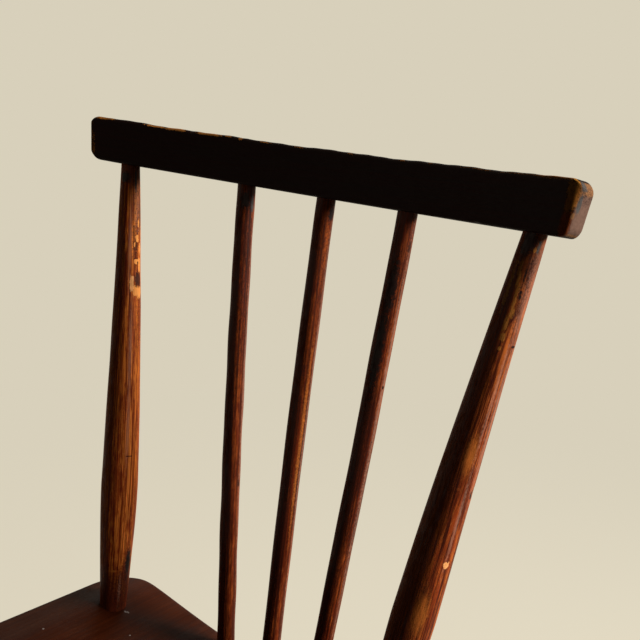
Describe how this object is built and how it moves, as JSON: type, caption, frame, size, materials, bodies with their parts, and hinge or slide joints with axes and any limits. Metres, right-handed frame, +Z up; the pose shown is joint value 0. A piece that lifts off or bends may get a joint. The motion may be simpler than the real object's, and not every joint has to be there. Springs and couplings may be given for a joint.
{
  "type": "spindle back chair",
  "caption": "Old spindle-back wooden chair with a curved crest rail, a dished plank seat and splayed turned legs, its dark varnish worn and peeled.",
  "frame": {"origin": "on the floor, under the middle of the chair's box", "axes": "+Z up; the sitter faces -Y; +X to the right as seen from the front"},
  "size_m": [0.4416, 0.4776, 0.8296],
  "materials": {
    "seat_varnish": "dark brown varnish, semi-matt and scuffed",
    "crest_varnish": "near-black red-brown gloss varnish, worn to bare wood along its arrises",
    "post_varnish": "red-brown gloss varnish over orange-brown grain, peeled to bare wood in patches",
    "spindle_varnish": "dark red-brown gloss varnish with small chips",
    "leg_varnish": "red-brown gloss varnish, worn at the feet",
    "stretcher_varnish": "red-brown gloss varnish, scuffed on top"
  },
  "bodies": {
    "root": {"seat": "seat_varnish", "crest_rail": "crest_varnish", "left_stile": "post_varnish", "right_stile": "post_varnish", "left_spindle": "spindle_varnish", "middle_spindle": "spindle_varnish", "right_spindle": "spindle_varnish", "front_left_leg": "leg_varnish", "front_right_leg": "leg_varnish", "rear_left_leg": "leg_varnish", "rear_right_leg": "leg_varnish", "left_side_stretcher": "stretcher_varnish", "right_side_stretcher": "stretcher_varnish", "cross_stretcher": "stretcher_varnish"}
  },
  "joints": []
}
